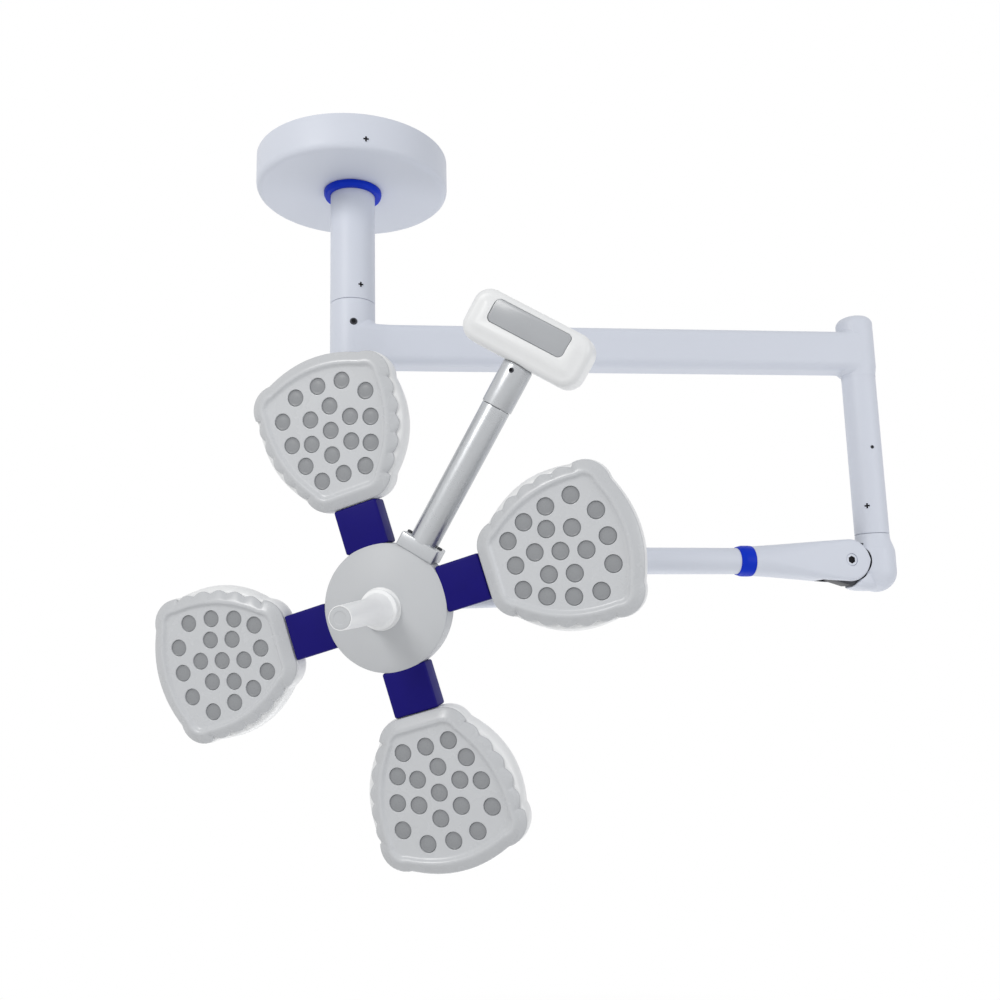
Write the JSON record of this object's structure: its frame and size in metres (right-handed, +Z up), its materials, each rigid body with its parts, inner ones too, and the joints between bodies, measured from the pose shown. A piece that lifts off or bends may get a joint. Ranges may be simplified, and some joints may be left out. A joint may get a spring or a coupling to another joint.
{
  "type": "dental operating light",
  "caption": "Ceiling-hung operating light: petal lamp head with lens panels, centre grip and control pod, on a yoke, a balanced parallel arm, a post and a swivelling extension arm.",
  "frame": {"origin": "centre of the ceiling plate's top face, which lies against the ceiling", "axes": "+Z up into the ceiling, +X along the extension arm, -Y towards the lit side of the head"},
  "size_m": [1.0754, 0.4339, 1.0156],
  "materials": {
    "white_paint": "bluish white powder coat, satin",
    "blue_plastic": "deep blue moulded ring",
    "navy_plastic": "dark violet-blue moulding",
    "pale_plastic": "pale grey moulding, fine grain",
    "lens_plastic": "grey lens moulding, unlit",
    "white_plastic": "glossy white moulding",
    "satin_metal": "satin anodised",
    "steel": "machined",
    "dark_steel": "blackened",
    "bronze": "plain bearing bronze",
    "panel_plastic": "grey window"
  },
  "bodies": {
    "ceiling_mount": {"ceiling_plate": "steel", "canopy_cover": "white_paint", "canopy_ring": "blue_plastic", "drop_tube": "white_paint", "arm_spindle": "steel", "spindle_nut": "steel", "canopy_screw": "dark_steel", "drop_tube_screw": "dark_steel"},
    "extension_arm": {"arm_hub_sleeve": "white_paint", "arm_bush": "bronze", "arm_brake_screw": "dark_steel", "arm_beam": "white_paint", "arm_end_boss": "white_paint", "end_post": "white_paint", "post_screw": "dark_steel", "elbow_spindle": "steel"},
    "elbow": {"elbow_housing": "white_paint", "elbow_pivot_pin": "steel"},
    "spring_arm": {"arm_shroud": "white_paint", "pivot_cap": "dark_steel", "spring_arm_ring": "blue_plastic", "spring_arm_tube": "white_paint", "balance_spring": "steel", "arm_end_fork": "white_paint"},
    "rod": {"parallel_rod": "steel"},
    "knuckle": {"front_knuckle": "white_paint", "knuckle_pin": "steel", "swivel_nut": "steel"},
    "yoke": {"yoke_arm": "white_paint"},
    "tilt": {"tilt_block": "white_paint"},
    "head": {"tilt_pin": "steel", "hub_bracket": "white_paint", "hub_shell": "pale_plastic", "hub_cover": "pale_plastic", "handle_stem": "satin_metal", "stalk_collar": "satin_metal", "stalk_bolt_left": "dark_steel", "stalk_bolt_right": "dark_steel", "stalk_tube": "satin_metal", "connector_1": "navy_plastic", "petal_housing_1": "white_plastic", "petal_bezel_1": "pale_plastic", "lens_board_1": "lens_plastic", "connector_2": "navy_plastic", "petal_housing_2": "white_plastic", "petal_bezel_2": "pale_plastic", "lens_board_2": "lens_plastic", "connector_3": "navy_plastic", "petal_housing_3": "white_plastic", "petal_bezel_3": "pale_plastic", "lens_board_3": "lens_plastic", "connector_4": "navy_plastic", "petal_housing_4": "white_plastic", "petal_bezel_4": "pale_plastic", "lens_board_4": "lens_plastic"},
    "handle": {"sterile_handle": "white_plastic"},
    "pod": {"pod_sleeve": "satin_metal", "pod_set_screw": "dark_steel", "pod_housing": "white_plastic", "pod_panel": "panel_plastic"}
  },
  "joints": [
    {"name": "arm_swivel", "type": "hinge", "parent": "ceiling_mount", "child": "extension_arm", "pos_m": [0, 0, -0.292], "axis": [0, 0, 1], "range_deg": [-170, 170]},
    {"name": "elbow_swivel", "type": "hinge", "parent": "extension_arm", "child": "elbow", "pos_m": [0.778, 0, -0.617], "axis": [0, 0, 1], "range_deg": [-10, 300]},
    {"name": "spring_arm_lift", "type": "hinge", "parent": "elbow", "child": "spring_arm", "pos_m": [0.72639, -0.00634, -0.617], "axis": [-0.1219, 0.9925, 0], "range_deg": [-45, 20]},
    {"name": "rod_pivot", "type": "hinge", "parent": "elbow", "child": "rod", "pos_m": [0.72639, -0.00634, -0.631], "axis": [-0.1219, 0.9925, 0], "range_deg": [-45, 20]},
    {"name": "knuckle_pivot", "type": "hinge", "parent": "spring_arm", "child": "knuckle", "pos_m": [0.26883, -0.06252, -0.617], "axis": [-0.1219, 0.9925, 0], "range_deg": [-20, 45]},
    {"name": "yoke_swivel", "type": "hinge", "parent": "knuckle", "child": "yoke", "pos_m": [0.26883, -0.06252, -0.6665], "axis": [0, 0, 1], "range_deg": [-60, 30]},
    {"name": "head_pitch", "type": "hinge", "parent": "yoke", "child": "tilt", "pos_m": [0.09034, -0.02213, -0.6665], "axis": [-0.9753, 0.2207, 0], "range_deg": [-90, 10]},
    {"name": "head_turn", "type": "hinge", "parent": "tilt", "child": "head", "pos_m": [0.09034, -0.02213, -0.6665], "axis": [-0.0299, -0.1324, 0.9907], "range_deg": [-50, 15]},
    {"name": "handle_twist", "type": "hinge", "parent": "head", "child": "handle", "pos_m": [0.0437, -0.1422, -0.684], "axis": [-0.3588, -0.9237, -0.1342], "range_deg": [-60, 60]},
    {"name": "pod_swivel", "type": "hinge", "parent": "head", "child": "pod", "pos_m": [0.05016, -0.12558, -0.68153], "axis": [0.4648, -0.3015, 0.8325], "range_deg": [-90, 90]}
  ],
  "couplings": [
    {"joint": "rod_pivot", "follows": "spring_arm_lift", "ratio": 1},
    {"joint": "knuckle_pivot", "follows": "spring_arm_lift", "ratio": -1}
  ]
}
